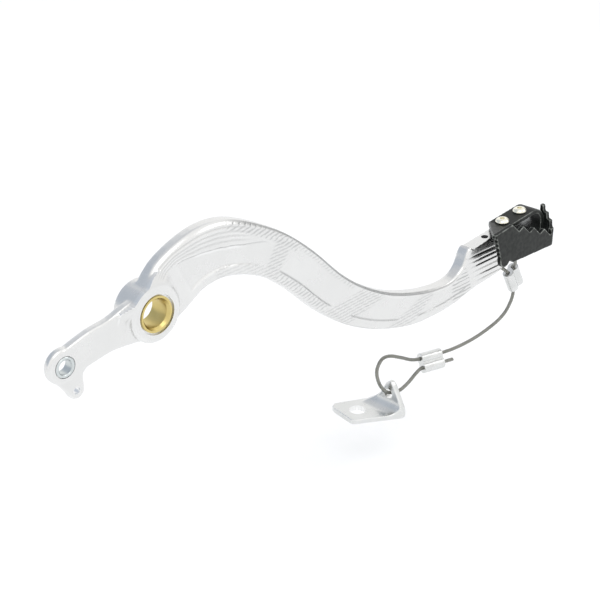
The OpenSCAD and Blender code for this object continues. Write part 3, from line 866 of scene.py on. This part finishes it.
# fine grooves and hatch strokes, with painted shade in the grooves, under the step and along thin
# lines, and a painted dark reflection line, where the masks ask for them
def strokesAndShadeGroup():
    inputs = (("Strokes", "Vector"), ("DarkLines", "Float"), ("GrooveShade", "Float"))
    group, entry, leave = newGroup("strokesAndShade", inputs, ("Tone", "Height"))
    masks = group.nodes.new("ShaderNodeSeparateXYZ")
    group.links.new(entry.outputs["Strokes"], masks.inputs["Vector"])
    drawn = calculate(group, "MAXIMUM", entry.outputs["DarkLines"], entry.outputs["GrooveShade"])
    for kind, axis in (("fine", "X"), ("hatch", "Y"), ("coarse", "Z")):
        laid = strokes(group, *strokeLooks[kind])
        laid = calculate(group, "MULTIPLY", laid, masks.outputs[axis])
        drawn = calculate(group, "MAXIMUM", drawn, laid)
    group.links.new(drawn, leave.inputs["Tone"])
    group.links.new(calculate(group, "SUBTRACT", 1, drawn), leave.inputs["Height"])
    return group


metalGrain = metalGrainGroup()
strokesAndShade = strokesAndShadeGroup()


# bare, plated or coated metal with grain, rubbed edges with painted highlights on them and a little
# unevenness
def metalMaterial(name, look):
    material, tree, shader = newMaterial(name)
    link = tree.links.new
    grain = tree.nodes.new("ShaderNodeGroup")
    grain.node_tree = metalGrain
    for socket, key in (
        ("Coarse Scale", "coarse"), ("Fine Scale", "fine"),
        ("Roughness", "roughness"), ("Spread", "spread"),
    ):
        grain.inputs[socket].default_value = look[key]
    link(grain.outputs["Roughness"], shader.inputs["Roughness"])
    # rubbed edges and painted highlights, broken into patches, in the lighter colour
    wearAndLight = tree.nodes.new("ShaderNodeAttribute")
    wearAndLight.attribute_name = "wearAndLight"
    patchy = tree.nodes.new("ShaderNodeMapRange")
    patchy.inputs["From Min"].default_value = 0.38
    patchy.inputs["From Max"].default_value = 0.62
    patchy.inputs["To Min"].default_value = look.get("wearAndLightLeast", 0.6)
    link(grain.outputs["Mask"], patchy.inputs["Value"])
    lightening = calculate(tree, "MULTIPLY", wearAndLight.outputs["Fac"], patchy.outputs["Result"])
    colour = layOver(tree, grain.outputs["Mask"], look["dark"], look["light"])
    colour = layOver(tree, lightening, colour, look["wornAndLit"])
    bump = addBump(tree, look["bump"], look["depth"], grain.outputs["Height"])
    if "drawn" in look:
        relief = tree.nodes.new("ShaderNodeGroup")
        relief.node_tree = strokesAndShade
        for attribute, output, socket in (
            ("strokeMask", "Vector", "Strokes"), ("paintedDarkLines", "Fac", "DarkLines"),
            ("paintedGrooveShade", "Fac", "GrooveShade"),
        ):
            mask = tree.nodes.new("ShaderNodeAttribute")
            mask.attribute_name = attribute
            link(mask.outputs[output], relief.inputs[socket])
        colour = layOver(tree, relief.outputs["Tone"], colour, look["drawn"])
        cut = addBump(tree, look["drawnBump"], look["drawnDepth"], relief.outputs["Height"])
        link(bump.outputs["Normal"], cut.inputs["Normal"])
        bump = cut
    link(colour, shader.inputs["Base Color"])
    link(bump.outputs["Normal"], shader.inputs["Normal"])
    shader.inputs["Metallic"].default_value = look["metallic"]
    shader.inputs["Specular IOR Level"].default_value = look.get("specular", 0.5)
    return material


# each look's third colour goes on rubbed edges and is also painted highlight and painted light
looks = {
    "forgedAluminium": {
        "dark": (0.685, 0.685, 0.675), "light": (0.765, 0.765, 0.755),
        "wornAndLit": (0.93, 0.93, 0.925), "metallic": 1,
        "coarse": 70, "fine": 1300, "roughness": 0.27, "spread": 0.14,
        "bump": 0.22, "depth": 0.05 * mm,
        "drawn": (0.33, 0.335, 0.335), "drawnBump": 0.6, "drawnDepth": 0.25 * mm,
    },
    "bushBronze": {
        "dark": (0.56, 0.44, 0.15), "light": (0.70, 0.58, 0.26),
        "wornAndLit": (0.84, 0.76, 0.5), "metallic": 1,
        "coarse": 200, "fine": 2500, "roughness": 0.34, "spread": 0.14,
        "bump": 0.15, "depth": 0.03 * mm,
    },
    "zincSteel": {
        "dark": (0.52, 0.56, 0.56), "light": (0.66, 0.69, 0.69),
        "wornAndLit": (0.82, 0.85, 0.85), "metallic": 1,
        "coarse": 200, "fine": 2500, "roughness": 0.30, "spread": 0.1,
        "bump": 0.15, "depth": 0.03 * mm,
    },
    "blackSteel": {
        "dark": (0.003, 0.004, 0.0035), "light": (0.008, 0.010, 0.009),
        "wornAndLit": (0.48, 0.50, 0.47), "metallic": 0,
        "coarse": 420, "fine": 1200, "roughness": 0.34, "spread": 0.2,
        "bump": 0.35, "depth": 0.07 * mm, "specular": 0.12, "wearAndLightLeast": 0.3,
    },
    "nickelSteel": {
        "dark": (0.82, 0.79, 0.67), "light": (0.92, 0.90, 0.80),
        "wornAndLit": (0.97, 0.96, 0.90), "metallic": 1,
        "coarse": 200, "fine": 2500, "roughness": 0.16, "spread": 0.08,
        "bump": 0.1, "depth": 0.03 * mm,
    },
    "wireRope": {
        "dark": (0.20, 0.20, 0.18), "light": (0.35, 0.35, 0.32),
        "wornAndLit": (0.55, 0.55, 0.52), "metallic": 0.9,
        "coarse": 300, "fine": 4000, "roughness": 0.40, "spread": 0.15,
        "bump": 0.3, "depth": 0.03 * mm,
    },
    "ferruleAluminium": {
        "dark": (0.56, 0.57, 0.56), "light": (0.78, 0.785, 0.775),
        "wornAndLit": (0.92, 0.92, 0.91), "metallic": 1,
        "coarse": 160, "fine": 1800, "roughness": 0.26, "spread": 0.14,
        "bump": 0.25, "depth": 0.05 * mm,
    },
    "bracketAluminium": {
        "dark": (0.60, 0.61, 0.60), "light": (0.76, 0.765, 0.755),
        "wornAndLit": (0.93, 0.93, 0.92), "metallic": 1,
        "coarse": 110, "fine": 1300, "roughness": 0.28, "spread": 0.14,
        "bump": 0.3, "depth": 0.05 * mm,
    },
}


def dress(obj, material):
    obj.data.materials.clear()
    obj.data.materials.append(material)


finishes = {name: metalMaterial(name, look) for name, look in looks.items()}
dress(pedalArm, finishes["forgedAluminium"])
dress(toeStep, finishes["blackSteel"])
dress(bracket, finishes["bracketAluminium"])
dress(wireRope, finishes["wireRope"])
for ferrule in ferrules:
    dress(ferrule, finishes["ferruleAluminium"])
nodeFinishes = {
    "pedal_arm": "forgedAluminium", "pivot_bush": "bushBronze", "clevis_sleeve": "zincSteel",
    "toe_step": "blackSteel", "toe_screw_rear": "nickelSteel", "toe_screw_front": "nickelSteel",
    "safety_cable": "wireRope", "ferrule_upper": "ferruleAluminium",
    "ferrule_lower": "ferruleAluminium", "frame_bracket": "bracketAluminium",
}
for node, finish in nodeFinishes.items():
    for slot in nodes[node].material_slots:
        slot.material = finishes[finish]
print("finishes set")


# studio: pale floor and white surroundings, with a blue-grey screen at the back left,
# a grey one over the top of the back and a darker one to the far right. each screen fades
# in between the two values given for x, y and z

studio = {
    "floor": -0.155, "floorSize": 8, "floorRoughness": 0.9,
    "white": 1.12, "aim": (0.1, 0, -0.03),
    "key": {"place": (-0.3, -0.5, 1.2), "size": 0.8, "power": 2.6},
    "fill": {"place": (0.9, -0.6, 0.8), "size": 0.7, "power": 1.2},
    "screens": [
        {"tint": (0.53, 0.575, 0.645), "x": (0.5, -0.1), "y": (0.02, 0.42), "z": (-0.05, 0.2)},
        {"tint": (0.66, 0.675, 0.71), "x": (-1.4, -1.2), "y": (0.1, 0.4), "z": (0.66, 0.8)},
        {"tint": (0.42, 0.425, 0.43), "x": (0.78, 0.92), "y": (0.5, 0.2), "z": (-0.2, -0.08)},
    ],
}

deselectAll()
bpy.ops.mesh.primitive_plane_add(size=studio["floorSize"], location=(0.1, 0, studio["floor"]))
floor = bpy.context.object
floor.name = floor.data.name = "paleFloor"
floorPaint, _, floorShader = newMaterial("paleFloor")
floorShader.inputs["Base Color"].default_value = (1, 1, 1, 1)
floorShader.inputs["Roughness"].default_value = studio["floorRoughness"]
floorShader.inputs["Specular IOR Level"].default_value = 0
dress(floor, floorPaint)

world = bpy.data.worlds.new("studioWorld")
scene.world = world
world.use_nodes = True
air = world.node_tree
for old in list(air.nodes):
    air.nodes.remove(old)
out = air.nodes.new("ShaderNodeOutputWorld")
glow = air.nodes.new("ShaderNodeBackground")
where = air.nodes.new("ShaderNodeTexCoord")
split = air.nodes.new("ShaderNodeSeparateXYZ")
air.links.new(where.outputs["Generated"], split.inputs["Vector"])
colour = (1, 1, 1)
for screen in studio["screens"]:
    cover = 1
    for axis in "xyz":
        edge = air.nodes.new("ShaderNodeMapRange")
        edge.interpolation_type = "SMOOTHSTEP"
        edge.inputs["From Min"].default_value, edge.inputs["From Max"].default_value = screen[axis]
        air.links.new(split.outputs[axis.upper()], edge.inputs["Value"])
        cover = calculate(air, "MULTIPLY", cover, edge.outputs["Result"])
    colour = layOver(air, cover, colour, screen["tint"])
air.links.new(colour, glow.inputs["Color"])
glow.inputs["Strength"].default_value = studio["white"]
air.links.new(glow.outputs["Background"], out.inputs["Surface"])


def softLight(name, place, size, power):
    data = bpy.data.lights.new(name, "AREA")
    data.shape = "DISK"
    data.size = size
    data.energy = power
    light = bpy.data.objects.new(name, data)
    light.location = place
    toAim = Vector(studio["aim"]) - Vector(place)
    light.rotation_euler = toAim.to_track_quat("-Z", "Y").to_euler()
    scene.collection.objects.link(light)


softLight("keyLight", **studio["key"])
softLight("fillLight", **studio["fill"])
scene.view_settings.view_transform = "Standard"
print("studio set")
